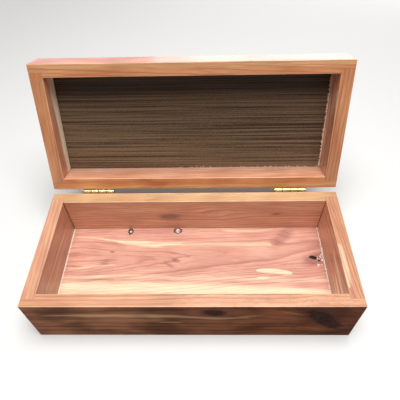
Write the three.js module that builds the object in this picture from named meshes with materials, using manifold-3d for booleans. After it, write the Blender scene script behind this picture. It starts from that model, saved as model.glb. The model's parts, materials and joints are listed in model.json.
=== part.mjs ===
// A hinged wooden box that stands open: a base and a lid, each a four-board frame with rabbeted
// corners, joined by two small brass butt hinges. The lid carries a thin dark panel with a pale
// inlay on its outer face.
//
// Units are millimetres. The origin is the centre of the base's flat underside, +X runs to the
// right along the box, +Y runs to the back, where the hinges are, and +Z points up.

import * as THREE from 'three';
import { mergeVertices } from 'three/addons/utils/BufferGeometryUtils.js';
import Module from 'manifold-3d';

const wasm = await Module();
wasm.setup();

// ---- Driving dimensions -------------------------------------------------------------------------

// The carcass
const boxLength = 305;
const boxDepth = 132;
const baseHeight = 63;
const lidHeight = 29;
const wallThickness = 12.7;
const cornerLip = 7.7; // what the corner rabbets leave of the long walls
const floorThickness = 16;
const panelThickness = 3;
const jointGap = 0.3; // glue line between neighbouring boards

// The hinges
const restOpening = 110; // degrees that the lid stands open
const rimGap = 0.4; // between the two rims when the lid is shut
const hingeInset = 49; // from each end of the box to the middle of a hinge
const hingeLength = 33.5;
const knuckleCount = 4;
const knuckleGap = 0.3;
const barrelDiameter = 4.6;
const pinDiameter = 2.2;
const pinClearance = 0.15;
const pinProud = 0.5; // how far each domed pin end stands out of the barrel
const leafWidth = 11; // from the pin's axis to the leaf's free edge
const leafThickness = 1.2;
const leafClearance = 0.4; // between a leaf and the other leaf's knuckles

// The screws
const screwHeadDiameter = 4.6;
const screwHeadDepth = 1.3;
const screwHeadEdge = 0.15;
const screwShankDiameter = 2.4;
const screwTipLength = 2;
const screwLength = 9;
const screwClearance = 0.15;
const screwSpread = 18; // between the two screws of a leaf

// The inlay
const stringInset = 12; // from the panel's edge to the border string
const stringWidth = 2.4;
const inlayThickness = 1.2;
const inlayClearance = 0.15;
const starPoints = 8;
const starRadius = 23;

// The meshes
const roundSegments = 24;
const screwSegments = 16;
const domeSteps = 3;
const mergeDistance = 1e-4;
const overshoot = 1; // how far a cutting tool runs past the face that it opens
const sliver = 0.001; // the same for a tool whose end lies in the face

// ---- Sizes that follow --------------------------------------------------------------------------

const backFace = boxDepth / 2;
const innerLength = boxLength - 2 * wallThickness;
const innerDepth = boxDepth - 2 * wallThickness;
const barrelRadius = barrelDiameter / 2;
const boreRadius = pinDiameter / 2 + pinClearance;
const pinOffset = barrelRadius + jointGap; // from the back faces to the pin's axis
const pinY = backFace + pinOffset;
const pinZ = baseHeight + rimGap / 2;
const leafOuter = jointGap + leafThickness; // from the back faces to the leaf's outer face
const screwDrop = (leafWidth + barrelRadius) / 2; // from the pin's axis to a screw's axis
const screwAcross = [-screwSpread / 2, screwSpread / 2]; // from the middle of a hinge
const hingeX = boxLength / 2 - hingeInset;
const panelTop = lidHeight;

// ---- Materials ----------------------------------------------------------------------------------

const finishes = {
  cedarBase: { color: 0xb9785a, roughness: 0.35, metalness: 0 },
  cedarFloor: { color: 0xe6b491, roughness: 0.35, metalness: 0 },
  cedarLid: { color: 0xc08262, roughness: 0.35, metalness: 0 },
  darkPanel: { color: 0x59463a, roughness: 0.45, metalness: 0 },
  paleInlay: { color: 0xe3cfa0, roughness: 0.4, metalness: 0 },
  redInlay: { color: 0xa2512f, roughness: 0.4, metalness: 0 },
  brass: { color: 0xd9b65c, roughness: 0.25, metalness: 1 },
};

function material(name) {
  return new THREE.MeshStandardMaterial({ name, ...finishes[name] });
}

// ---- Solids -------------------------------------------------------------------------------------

function toSolid(geometry) {
  const bare = geometry.clone();
  bare.deleteAttribute('normal');
  bare.deleteAttribute('uv');
  const merged = mergeVertices(bare, mergeDistance);
  return new wasm.Manifold(new wasm.Mesh({
    numProp: 3,
    vertProperties: new Float32Array(merged.attributes.position.array),
    triVerts: new Uint32Array(merged.index.array),
  }));
}

function toGeometry(solid) {
  const mesh = solid.getMesh();
  const geometry = new THREE.BufferGeometry();
  geometry.setAttribute('position', new THREE.BufferAttribute(mesh.vertProperties, 3));
  geometry.setIndex(new THREE.BufferAttribute(mesh.triVerts, 1));
  geometry.computeVertexNormals();
  return geometry;
}

function joined(geometries) {
  const [first, ...others] = geometries.map(toSolid);
  return toGeometry(others.reduce((whole, solid) => whole.add(solid), first));
}

function cut(geometry, tools) {
  return toGeometry(tools.map(toSolid).reduce((whole, tool) => whole.subtract(tool), toSolid(geometry)));
}

function block(low, high) {
  const size = high.map((value, i) => value - low[i]);
  const middle = high.map((value, i) => (value + low[i]) / 2);
  return new THREE.BoxGeometry(...size).translate(...middle);
}

function slab(outline, low, high) {
  const shape = new THREE.Shape(outline.map(([x, y]) => new THREE.Vector2(x, y)));
  const geometry = new THREE.ExtrudeGeometry(shape, { depth: high - low, bevelEnabled: false });
  return geometry.translate(0, 0, low);
}

// A turned shape about the Y axis; the profile runs upwards from the axis back to the axis.
function turned(profile, segments) {
  return new THREE.LatheGeometry(profile.map(([r, y]) => new THREE.Vector2(r, y)), segments);
}

// A rod along X, from x0 to x1.
function rod(radius, x0, x1, segments = roundSegments) {
  return turned([[0, x0], [radius, x0], [radius, x1], [0, x1]], segments).rotateZ(-Math.PI / 2);
}

function addMesh(group, name, geometry, finish) {
  const mesh = new THREE.Mesh(geometry, material(finish));
  mesh.name = name;
  group.add(mesh);
  return mesh;
}

// ---- The carcass --------------------------------------------------------------------------------

// A long wall seen from above, standing at the front; its ends are rabbeted for the short walls.
function longWallOutline() {
  const end = boxLength / 2;
  const shoulder = innerLength / 2 - jointGap;
  const outer = -boxDepth / 2;
  const lip = outer + cornerLip;
  const inner = outer + wallThickness;
  return [
    [-end, outer], [end, outer], [end, lip], [shoulder, lip],
    [shoulder, inner], [-shoulder, inner], [-shoulder, lip], [-end, lip],
  ];
}

// A screw and the hole that it leaves, pointing along -Y with its head flush with y = 0.
function screwGeometry(clearance) {
  const head = screwHeadDiameter / 2 + clearance;
  const shank = screwShankDiameter / 2 + clearance;
  const length = screwLength + clearance;
  return turned([
    [0, -length], [shank, screwTipLength - length], [shank, -screwHeadDepth],
    [head, -screwHeadEdge], [head, 0], [0, 0],
  ], screwSegments);
}

// Where the screws of both hinges enter a back wall, for holes above (+1) or below (-1) the pin.
function screwPlaces(side) {
  return [-hingeX, hingeX].flatMap((middle) => (
    screwAcross.map((x) => [middle + x, side * screwDrop])));
}

function frameWalls(group, prefix, height, finish, screwHeights) {
  const front = slab(longWallOutline(), 0, height);
  const back = front.clone().rotateZ(Math.PI);
  const holes = screwHeights.map(([x, z]) => (
    screwGeometry(screwClearance).translate(x, backFace + leafOuter, z)));
  addMesh(group, `${prefix}_front`, front, finish);
  addMesh(group, `${prefix}_back`, cut(back, holes), finish);

  const reach = boxDepth / 2 - cornerLip - jointGap;
  for (const [side, sign] of [['left', -1], ['right', 1]]) {
    const wall = block([innerLength / 2, -reach, 0], [boxLength / 2, reach, height]);
    if (sign < 0) wall.rotateZ(Math.PI);
    addMesh(group, `${prefix}_${side}`, wall, finish);
  }
}

// A board that fills the inside of a frame, from one height to another.
function fillingBoard(low, high) {
  const x = innerLength / 2 - jointGap;
  const y = innerDepth / 2 - jointGap;
  return block([-x, -y, low], [x, y, high]);
}

// ---- The inlay ----------------------------------------------------------------------------------

const stringOuterX = innerLength / 2 - jointGap - stringInset;
const stringOuterY = innerDepth / 2 - jointGap - stringInset;
const pocketFloor = panelTop - inlayThickness - jointGap;
const inlayFloor = panelTop - inlayThickness;

function stringPocket() {
  const innerX = stringOuterX - stringWidth;
  const innerY = stringOuterY - stringWidth;
  const top = panelTop + overshoot;
  const outer = block([-stringOuterX, -stringOuterY, pocketFloor], [stringOuterX, stringOuterY, top]);
  const island = block(
    [-innerX, -innerY, pocketFloor - overshoot], [innerX, innerY, top + overshoot]);
  return cut(outer, [island]);
}

// One mitred border strip; reach is half its outer length, line its outer edge's distance out.
function borderString(reach, line) {
  const mitreGap = Math.SQRT2 * inlayClearance;
  const low = line - stringWidth + inlayClearance;
  const high = line - inlayClearance;
  const slope = (y) => reach - (line - y) - mitreGap - inlayClearance;
  return slab(
    [[-slope(low), low], [slope(low), low], [slope(high), high], [-slope(high), high]],
    inlayFloor, panelTop);
}

// The star's points are kites that meet at its middle; each has two equal pairs of sides.
const kiteHalfAngle = Math.PI / starPoints;
const kiteSide = starRadius / (2 * Math.cos(kiteHalfAngle));

function starPocket() {
  const outline = [];
  for (let i = 0; i < 2 * starPoints; i += 1) {
    const angle = i * kiteHalfAngle;
    const radius = i % 2 === 0 ? starRadius : kiteSide;
    outline.push([radius * Math.cos(angle), radius * Math.sin(angle)]);
  }
  return slab(outline, pocketFloor, panelTop + overshoot);
}

function starKite(index) {
  const inradius = kiteSide * Math.sin(2 * kiteHalfAngle) / 2;
  const shrink = 1 - inlayClearance / inradius;
  const middle = starRadius / 2;
  const near = middle * (1 - shrink);
  const far = middle * (1 + shrink);
  const wing = kiteSide * Math.sin(kiteHalfAngle) * shrink;
  return slab([[near, 0], [middle, -wing], [far, 0], [middle, wing]], inlayFloor, panelTop)
    .rotateZ(2 * kiteHalfAngle * index);
}

function addInlay(group) {
  const strings = [
    ['back', stringOuterX, stringOuterY, 0],
    ['left', stringOuterY, stringOuterX, 1],
    ['front', stringOuterX, stringOuterY, 2],
    ['right', stringOuterY, stringOuterX, 3],
  ];
  for (const [side, reach, line, quarter] of strings) {
    const strip = borderString(reach, line).rotateZ(quarter * Math.PI / 2);
    addMesh(group, `lid_string_${side}`, strip, 'paleInlay');
  }
  for (let i = 0; i < starPoints; i += 1) {
    addMesh(group, `lid_star_${i + 1}`, starKite(i), i % 2 === 0 ? 'paleInlay' : 'redInlay');
  }
}

// ---- The hinges ---------------------------------------------------------------------------------

// The leaf of the base: it hangs from the pin's axis (y = pinOffset, z = 0) down the back face
// (y = 0). The leaf of the lid is the same piece turned half way round.
function leafGeometry() {
  const half = hingeLength / 2;
  const pitch = hingeLength / knuckleCount;
  const plateTop = -barrelRadius - leafClearance;
  const parts = [block([-half, jointGap, -leafWidth], [half, leafOuter, plateTop])];
  for (let i = 0; i < knuckleCount; i += 2) {
    const x0 = -half + i * pitch + (i > 0 ? knuckleGap / 2 : 0);
    const x1 = -half + (i + 1) * pitch - knuckleGap / 2;
    parts.push(block([x0, jointGap, plateTop - overshoot], [x1, leafOuter, 0]));
    parts.push(rod(barrelRadius, x0, x1).translate(0, pinOffset, 0));
  }
  const bore = rod(boreRadius, -half - overshoot, half + overshoot).translate(0, pinOffset, 0);
  const holes = screwAcross.map((x) => (
    screwGeometry(screwClearance).translate(x, leafOuter + sliver, -screwDrop)));
  return cut(joined(parts), [bore, ...holes]);
}

function pinGeometry() {
  const radius = pinDiameter / 2;
  const end = hingeLength / 2;
  const dome = [];
  for (let i = 0; i < domeSteps; i += 1) {
    const angle = i / domeSteps * Math.PI / 2;
    dome.push([radius * Math.cos(angle), end + pinProud * Math.sin(angle)]);
  }
  dome.push([0, end + pinProud]);
  const foot = dome.map(([r, x]) => [r, -x]).reverse();
  return turned([...foot, ...dome], roundSegments).rotateZ(-Math.PI / 2);
}

function addScrews(group, prefix, side) {
  for (const [i, x] of screwAcross.entries()) {
    const screw = screwGeometry(0).translate(x, leafOuter, side * screwDrop);
    addMesh(group, `${prefix}_screw_${i + 1}`, screw, 'brass');
  }
}

// ---- The box ------------------------------------------------------------------------------------

const box = new THREE.Group();

const base = new THREE.Group();
const basePlaces = screwPlaces(-1).map(([x, z]) => [x, pinZ + z]);
frameWalls(base, 'base', baseHeight, 'cedarBase', basePlaces);
addMesh(base, 'base_floor', fillingBoard(0, floorThickness), 'cedarFloor');
box.add(base);

// The lid's group turns about the pins; inside it the lid is drawn as when it is shut.
const lid = new THREE.Group();
lid.position.set(0, pinY, pinZ);
lid.rotation.x = -THREE.MathUtils.degToRad(restOpening);
box.add(lid);

const lidFrame = new THREE.Group();
lidFrame.position.set(0, -pinY, rimGap / 2);
const lidPlaces = screwPlaces(1).map(([x, z]) => [x, z - rimGap / 2]);
frameWalls(lidFrame, 'lid', lidHeight, 'cedarLid', lidPlaces);
const plainPanel = fillingBoard(panelTop - panelThickness, panelTop);
addMesh(lidFrame, 'lid_panel', cut(plainPanel, [stringPocket(), starPocket()]), 'darkPanel');
addInlay(lidFrame);
lid.add(lidFrame);

for (const [side, x] of [['left', -hingeX], ['right', hingeX]]) {
  const onBase = new THREE.Group();
  onBase.position.set(x, backFace, pinZ);
  addMesh(onBase, `hinge_${side}_base_leaf`, leafGeometry(), 'brass');
  const pin = addMesh(onBase, `hinge_${side}_pin`, pinGeometry(), 'brass');
  pin.position.y = pinOffset;
  addScrews(onBase, `hinge_${side}_base`, -1);
  base.add(onBase);

  const onLid = new THREE.Group();
  onLid.position.set(x, -pinOffset, 0);
  addMesh(onLid, `hinge_${side}_lid_leaf`, leafGeometry().rotateY(Math.PI), 'brass');
  addScrews(onLid, `hinge_${side}_lid`, 1);
  lid.add(onLid);
}

export default box;
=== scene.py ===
"""Looks of a hinged cedar box with an inlaid lid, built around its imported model."""

import json
import math

import bmesh
import bpy
from mathutils import Matrix, Vector, noise
from mathutils.bvhtree import BVHTree


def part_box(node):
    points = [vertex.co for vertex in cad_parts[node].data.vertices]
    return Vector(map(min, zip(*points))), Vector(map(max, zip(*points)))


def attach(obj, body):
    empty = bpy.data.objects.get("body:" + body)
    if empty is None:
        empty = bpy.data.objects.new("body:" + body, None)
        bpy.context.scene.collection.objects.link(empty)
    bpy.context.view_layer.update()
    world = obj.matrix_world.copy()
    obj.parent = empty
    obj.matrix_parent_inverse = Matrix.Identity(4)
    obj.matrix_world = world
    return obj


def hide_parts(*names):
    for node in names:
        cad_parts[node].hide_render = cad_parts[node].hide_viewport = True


bl_info = {
    "name": "Hinged cedar box",
    "version": (1, 0, 0),
    "blender": (4, 5, 0),
    "location": "3D View > Sidebar > Cedar Box",
    "description": "Builds the boards, hinges, inlay and studio of a hinged cedar box",
    "category": "Object",
}

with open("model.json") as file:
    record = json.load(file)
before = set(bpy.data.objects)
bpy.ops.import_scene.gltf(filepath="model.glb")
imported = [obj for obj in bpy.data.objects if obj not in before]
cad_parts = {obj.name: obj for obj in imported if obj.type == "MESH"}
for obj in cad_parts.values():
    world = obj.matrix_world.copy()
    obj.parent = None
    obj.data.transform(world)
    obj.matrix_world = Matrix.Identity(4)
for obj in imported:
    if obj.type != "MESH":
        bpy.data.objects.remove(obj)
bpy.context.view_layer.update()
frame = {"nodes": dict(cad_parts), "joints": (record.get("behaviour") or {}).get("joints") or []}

# ---- Sizes taken from the frame, in metres -------------------------------------------------------

MM = 0.001
_, FRONT_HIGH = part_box("base_front")
_, FLOOR_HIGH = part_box("base_floor")
BASE_HEIGHT = FRONT_HIGH.z
FLOOR_TOP = FLOOR_HIGH.z
LID_JOINT = frame["joints"][0]
PIN = Vector(LID_JOINT["pos_m"])
REST_OPENING = math.radians(-LID_JOINT["range_deg"][0])
RIM_GAP = 2 * (PIN.z - BASE_HEIGHT)
PIN_LOW, PIN_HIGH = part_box("hinge_right_pin")
HINGE_X = (PIN_LOW.x + PIN_HIGH.x) / 2
LEAF_LOW, LEAF_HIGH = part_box("hinge_right_base_leaf")
HINGE_LENGTH = LEAF_HIGH.x - LEAF_LOW.x
BARREL_RADIUS = LEAF_HIGH.z - PIN.z
SCREW_LOW, SCREW_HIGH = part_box("hinge_right_base_screw_2")
SCREW_X = (SCREW_LOW.x + SCREW_HIGH.x) / 2 - HINGE_X
SCREW_DROP = PIN.z - (SCREW_LOW.z + SCREW_HIGH.z) / 2
SCREW_RADIUS = (SCREW_HIGH.x - SCREW_LOW.x) / 2
SCREW_LENGTH = SCREW_HIGH.y - SCREW_LOW.y
LEAF_FACE = SCREW_HIGH.y - PIN.y

# Turns the lid from its open rest pose to where it lies when it is shut.
SHUT = Matrix.Translation(PIN) @ Matrix.Rotation(REST_OPENING, 4, "X") @ Matrix.Translation(-PIN)
OPEN = SHUT.inverted()

# Each board's own directions: along the grain, across the face and out of the face.
ALONG_X_UPRIGHT = Matrix(((1, 0, 0, 0), (0, 0, 1, 0), (0, -1, 0, 0), (0, 0, 0, 1)))
ALONG_Y_UPRIGHT = Matrix(((0, 1, 0, 0), (0, 0, 1, 0), (1, 0, 0, 0), (0, 0, 0, 1)))
ALONG_X_FLAT = Matrix.Identity(4)

# The lid upright and shut, with its heights counted from its rim.
LID_UP = Matrix.Translation((0, 0, -(BASE_HEIGHT + RIM_GAP))) @ SHUT


# ---- Node trees ----------------------------------------------------------------------------------


class Nodes:
    """Short calls that add nodes to one tree and link them."""

    def __init__(self, tree):
        self.tree = tree

    def new(self, kind, **settings):
        node = self.tree.nodes.new(kind)
        for name, value in settings.items():
            setattr(node, name, value)
        return node

    def feed(self, socket, value):
        if isinstance(value, bpy.types.NodeSocket):
            self.tree.links.new(value, socket)
        else:
            socket.default_value = value

    def fill(self, node, values):
        for name, value in values.items():
            self.feed(node.inputs[name], value)

    def put(self, kind, inputs, output=0, **settings):
        node = self.new(kind, **settings)
        self.fill(node, inputs)
        return node.outputs[output]

    def math(self, operation, *values, clamp=False):
        inputs = dict(enumerate(values))
        return self.put("ShaderNodeMath", inputs, operation=operation, use_clamp=clamp)

    def times(self, a, b):
        return self.math("MULTIPLY", a, b)

    def over(self, a, b):
        return self.math("DIVIDE", a, b)

    def plus(self, a, b, clamp=False):
        return self.math("ADD", a, b, clamp=clamp)

    def minus(self, a, b, clamp=False):
        return self.math("SUBTRACT", a, b, clamp=clamp)

    def linear(self, value, slope, base):
        return self.math("MULTIPLY_ADD", value, slope, base)

    def vector(self, operation, *values, output=0):
        inputs = dict(enumerate(values))
        return self.put("ShaderNodeVectorMath", inputs, output, operation=operation)

    def step(self, value, low, high, to_low=0.0, to_high=1.0):
        inputs = {
            "Value": value, "From Min": low, "From Max": high, "To Min": to_low, "To Max": to_high}
        return self.put("ShaderNodeMapRange", inputs, interpolation_type="SMOOTHSTEP")

    def scaled(self, vector, factor):
        scaled = self.vector("SCALE", vector)
        self.feed(scaled.node.inputs["Scale"], factor)
        return scaled

    def mix(self, share, a, b, blend="MIX"):
        node = self.new("ShaderNodeMix", data_type="RGBA", blend_type=blend)
        for name, value in (("Factor_Float", share), ("A_Color", a), ("B_Color", b)):
            socket = next(s for s in node.inputs if s.identifier == name)
            self.feed(socket, value)
        return next(s for s in node.outputs if s.identifier == "Result_Color")

    def tinted(self, colour, tint):
        return self.mix(1.0, colour, tint, "MULTIPLY")

    def shaded(self, colour, value):
        return self.tinted(colour, self.grey(value))

    def noise(self, vector, stretch=(1, 1, 1), scale=1.0, detail=2.0, roughness=0.5):
        stretched = self.vector("MULTIPLY", vector, stretch)
        inputs = {"Vector": stretched, "Scale": scale, "Detail": detail, "Roughness": roughness}
        return self.put("ShaderNodeTexNoise", inputs)

    def hollow(self, distance):
        """How open the surface lies, from 0 in a hollow to 1."""
        return self.put("ShaderNodeAmbientOcclusion", {"Distance": distance}, "AO", samples=8)

    def split(self, vector):
        return self.put("ShaderNodeSeparateXYZ", {"Vector": vector}, "X").node.outputs

    def join(self, x, y, z):
        return self.put("ShaderNodeCombineXYZ", {"X": x, "Y": y, "Z": z})

    def grey(self, value):
        return self.put("ShaderNodeCombineColor", {"Red": value, "Green": value, "Blue": value})

    def group(self, tree, inputs):
        node = self.new("ShaderNodeGroup", node_tree=tree)
        self.fill(node, inputs)
        return node.outputs


# Kinds of socket, by how a group's output is typed and by how long a default value is.
SOCKETS = {
    "VALUE": "NodeSocketFloat", "VECTOR": "NodeSocketVector", "RGBA": "NodeSocketColor",
    3: "NodeSocketVector", 4: "NodeSocketColor",
}
ORIGIN = (0, 0, 0)


def socket_kind(default):
    return SOCKETS[len(default)] if isinstance(default, tuple) else SOCKETS["VALUE"]


def shader_group(name, inputs):
    """Turns a function of nodes and inputs into a shader node group, which is built on first use."""

    def wrap(build):
        def group():
            tree = bpy.data.node_groups.get(name)
            if tree:
                return tree
            tree = bpy.data.node_groups.new(name, "ShaderNodeTree")
            for label, default in inputs.items():
                socket = tree.interface.new_socket(label, in_out="INPUT", socket_type=socket_kind(default))
                socket.default_value = default
            nodes = Nodes(tree)
            made = build(nodes, nodes.new("NodeGroupInput").outputs)
            for label, value in made.items():
                tree.interface.new_socket(label, in_out="OUTPUT", socket_type=SOCKETS[value.type])
            nodes.fill(nodes.new("NodeGroupOutput"), made)
            return tree

        return group

    return wrap


# How far one unit of seed moves a board through the noise, so that no two boards are alike.
SEED_STRIDE = (173.0, 91.0, 57.0)


def seeded(n, inputs):
    """The board's coordinates moved to a stretch of noise of its own."""
    return n.vector("ADD", inputs["Board"], n.scaled(SEED_STRIDE, inputs["Seed"]))


@shader_group("Knot", {
    "Board": ORIGIN, "Seed": 0.0, "Core": 0.0, "Halo": 0.0, "Middle": ORIGIN, "Half Length": 5.0,
    "Half Width": 3.0, "Lean": 0.0, "Push": 0.7, "Stain": 0.5, "Dark": 0.5, "Pale": 0.0, "Bark": 0.0})
def knot_group(n, i):
    """Bends the grain round one knot and gives its dark core, its stained surround and its bark."""
    offset = n.vector("SUBTRACT", i["Board"], i["Middle"])
    ragged = n.noise(seeded(n, i), (0.16, 0.3, 0.3), detail=3)
    x, y, _ = n.split(offset)
    turned = n.plus(y, n.times(x, i["Lean"]))
    u = n.over(x, i["Half Length"])
    v = n.over(turned, i["Half Width"])
    reach = n.math("SQRT", n.plus(n.times(u, u), n.times(v, v)))
    rough = n.plus(reach, n.linear(ragged, 0.9, -0.45))
    core = n.step(rough, 0.72, 1.08, i["Dark"], 0.0)
    halo = n.step(rough, 0.6, 2.1, 1.0, 0.0)
    rings = n.math("PINGPONG", n.times(rough, 1.9), 0.5)
    wide = n.times(n.times(u, u), 0.16)
    tall = n.times(n.times(v, v), 0.2)
    pull = n.math("EXPONENT", n.times(n.plus(wide, tall), -1.0))
    push = n.times(n.times(turned, pull), i["Push"])
    bent = n.vector("SUBTRACT", i["Board"], n.join(0.0, push, 0.0))
    ringed_core = n.times(core, n.linear(rings, 1.1, 0.45))
    near = n.times(n.step(rough, 1.1, 1.3), n.step(rough, 1.35, 1.6, 1.0, 0.0))
    low_side = n.step(n.minus(u, v), -0.4, 0.9)
    bark = n.times(n.times(near, low_side), i["Bark"])
    return {
        "Board": bent, "Core": n.math("MAXIMUM", i["Core"], ringed_core),
        "Halo": n.math("MAXIMUM", i["Halo"], n.times(halo, i["Stain"])),
        "Pale": n.math("MAXIMUM", i["Pale"], bark)}


@shader_group("Sapwood streak", {
    "Board": ORIGIN, "Seed": 0.0, "Sapwood": 0.0, "Middle": ORIGIN, "Half Length": 50.0,
    "Half Width": 3.0, "Slope": 0.0, "Bend": 0.0, "Softness": 0.4, "Strength": 1.0, "Waver": 5.0})
def streak_group(n, i):
    """A long lens of sapwood that follows the grain, with feathered ends."""
    offset = n.vector("SUBTRACT", i["Board"], i["Middle"])
    x, y, _ = n.split(offset)
    waver = n.noise(seeded(n, i), (0.03, 0.2, 0.2), detail=2)
    u = n.over(x, i["Half Length"])
    squared = n.times(u, u)
    line = n.linear(x, i["Slope"], n.times(squared, i["Bend"]))
    line = n.plus(line, n.times(n.minus(waver, 0.5), i["Waver"]))
    taper = n.math("SQRT", n.minus(1.02, squared, clamp=True))
    half = n.times(i["Half Width"], taper)
    v = n.math("ABSOLUTE", n.over(n.minus(y, line), half))
    edge = n.minus(1.0, i["Softness"])
    mask = n.step(v, edge, n.plus(1.0, i["Softness"]), i["Strength"], 0.0)
    return {"Sapwood": n.math("MAXIMUM", i["Sapwood"], n.times(mask, n.step(taper, 0.0, 0.3)))}


@shader_group("Growth rings", {
    "Board": ORIGIN, "Seed": 0.0, "Pith Across": -40.0, "Pith Depth": -40.0, "Pith Drift": 0.0,
    "Pith Climb": 0.02, "Ring Width": 3.0, "Wander": 8.0, "Early": 0.3})
def rings_group(n, i):
    """Growth rings round a pith that lies outside the board, cut by whatever face shows."""
    place = seeded(n, i)
    x, y, z = n.split(i["Board"])
    slow = n.minus(n.noise(place, (0.008, 0.03, 0.03), detail=2), 0.5)
    brisk = n.minus(n.noise(place, (0.03, 0.16, 0.16), detail=3), 0.5)
    across = n.minus(y, i["Pith Across"])
    across = n.plus(across, n.times(x, i["Pith Drift"]))
    across = n.plus(across, n.times(slow, i["Wander"]))
    deep = n.minus(z, i["Pith Depth"])
    deep = n.plus(deep, n.times(x, i["Pith Climb"]))
    squares = n.plus(n.times(across, across), n.times(deep, deep))
    radius = n.plus(n.math("SQRT", squares), n.times(brisk, 2.2))
    uneven = n.noise(n.join(radius, 0.0, i["Seed"]), (0.11, 1, 1), detail=1)
    count = n.over(n.linear(uneven, 9.0, radius), i["Ring Width"])
    share = n.math("FRACT", count)
    rise = n.step(share, i["Early"], 0.88)
    fall = n.step(share, 0.9, 1.0, 1.0, 0.0)
    year = n.join(n.math("FLOOR", count), i["Seed"], 0.5)
    strength = n.put("ShaderNodeTexWhiteNoise", {"Vector": year}, "Value", noise_dimensions="3D")
    line = n.times(n.times(rise, fall), n.linear(strength, 0.75, 0.25))
    fibre = n.noise(place, (0.035, 1.3, 1.3), detail=4, roughness=0.65)
    broad = n.noise(n.join(radius, n.times(x, 0.02), i["Seed"]), (0.09, 1, 1), detail=2)
    return {"Late": line, "Fibre": fibre, "Broad": broad}


@shader_group("Wood colour", {
    "Late": 0.0, "Fibre": 0.5, "Broad": 0.5, "Sapwood Share": 0.0, "Core": 0.0, "Halo": 0.0, "End": 0.0,
    "Ring Strength": 0.6, "Heartwood": (0.6, 0.3, 0.2, 1), "Dark Heartwood": (0.5, 0.2, 0.12, 1),
    "Latewood": (0.35, 0.12, 0.07, 1), "Sapwood": (0.8, 0.65, 0.42, 1),
    "Sapwood Line": (0.6, 0.42, 0.2, 1), "Stain": (0.3, 0.12, 0.1, 1), "Knot": (0.06, 0.03, 0.03, 1)})
def wood_colour_group(n, i):
    """The wood's colour from its rings, fibres, sapwood, knots, stains and end grain."""
    heart = n.mix(n.step(i["Broad"], 0.3, 0.7), i["Heartwood"], i["Dark Heartwood"])
    ringed = n.mix(n.times(i["Late"], i["Ring Strength"]), heart, i["Latewood"])
    pale = n.mix(n.times(i["Late"], 0.7), i["Sapwood"], i["Sapwood Line"])
    wood = n.mix(i["Sapwood Share"], ringed, pale)
    stained = n.mix(i["Halo"], wood, i["Stain"])
    cored = n.mix(i["Core"], stained, i["Knot"])
    fibred = n.shaded(cored, n.step(i["Fibre"], 0.3, 0.7, 0.80, 1.12))
    end_grain = n.tinted(fibred, (0.52, 0.42, 0.36, 1))
    return {"Colour": n.mix(n.times(i["End"], 0.45), fibred, end_grain)}


@shader_group("Edge wear and highlight", {
    "Board": ORIGIN, "Seed": 0.0, "Arris": 0.0, "Amount": 0.5, "Colour": (0.5, 0.5, 0.5, 1),
    "Worn Colour": (0.9, 0.7, 0.5, 1)})
def edge_wear_and_highlight_group(n, i):
    """Rubbed edges: a lighter, patchy line on the arrises, partly where the finish has thinned and partly
    painted highlight.
    """
    patch = n.noise(seeded(n, i), (0.12, 0.5, 0.5), detail=4)
    wear_and_highlight = n.times(i["Arris"], n.step(patch, 0.35, 0.62, 0.35, 1.0))
    share = n.times(wear_and_highlight, i["Amount"])
    return {"Colour": n.mix(share, i["Colour"], i["Worn Colour"]), "Worn": share}


@shader_group("Brushed finish", {
    "Board": ORIGIN, "Seed": 0.0, "Roughness": 0.35, "Grain": 0.0, "Worn": 0.0})
def finish_group(n, i):
    """A brushed-on finish: slightly uneven gloss, with the grain just telling through it."""
    place = seeded(n, i)
    cloud = n.noise(place, (0.02, 0.03, 0.03), detail=3)
    brush = n.noise(place, (0.02, 0.7, 0.7), detail=3)
    spread = n.linear(cloud, 0.16, n.times(brush, 0.1))
    rough = n.plus(i["Roughness"], n.minus(spread, 0.13))
    rough = n.plus(rough, n.times(i["Worn"], 0.18), clamp=True)
    height = n.linear(i["Grain"], -0.6, n.times(brush, 0.5))
    return {"Roughness": rough, "Height": n.plus(height, n.times(cloud, 0.8))}


@shader_group("Seam dust and shade", {"Board": ORIGIN, "Seed": 0.0, "Reach": 1.6 * MM})
def seams_group(n, i):
    """Dust and painted shade in the seams between the boards, darker where ambient occlusion finds a
    hollow.
    """
    patch = n.noise(seeded(n, i), (0.05, 0.1, 0.1), detail=2)
    seam = n.step(n.hollow(i["Reach"]), 0.3, 0.72, 1.0, 0.0)
    return {"Dust": n.times(seam, n.step(patch, 0.3, 0.6, 0.5, 1.0))}


@shader_group("Planer marks", {"Board": ORIGIN, "Seed": 0.0, "Spacing": 2.6, "Slant": 0.5})
def planer_group(n, i):
    """Faint ripples left across the grain by the planer, here and there."""
    x, y, z = n.split(i["Board"])
    slanted = n.linear(n.plus(y, z), i["Slant"], x)
    wave = n.math("SINE", n.over(n.times(slanted, math.tau), i["Spacing"]))
    patch = n.noise(seeded(n, i), (0.012, 0.03, 0.03), detail=1)
    return {"Shade": n.times(n.linear(wave, 0.5, 0.5), n.step(patch, 0.45, 0.6))}


@shader_group("Torn edge", {"Board": ORIGIN, "Seed": 0.0, "Edge": 0.0, "Width": 1.0})
def torn_edge_group(n, i):
    """A ragged strip across the grain, beside a board's sawn end or a seam."""
    x, _, _ = n.split(i["Board"])
    inward = n.math("ABSOLUTE", n.minus(x, i["Edge"]))
    teeth = n.noise(seeded(n, i), (0.02, 0.55, 0.55), detail=3, roughness=0.7)
    reach = n.times(i["Width"], n.step(teeth, 0.32, 0.68, 0.15, 1.5))
    return {"Torn": n.step(n.over(inward, reach), 0.8, 1.1, 0.9, 0.0)}


def new_material(name):
    material = bpy.data.materials.new(name)
    material.use_nodes = True
    material.node_tree.nodes.clear()
    nodes = Nodes(material.node_tree)
    shader = nodes.new("ShaderNodeBsdfPrincipled")
    output = nodes.new("ShaderNodeOutputMaterial")
    nodes.feed(output.inputs["Surface"], shader.outputs["BSDF"])
    return material, nodes, shader


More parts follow.
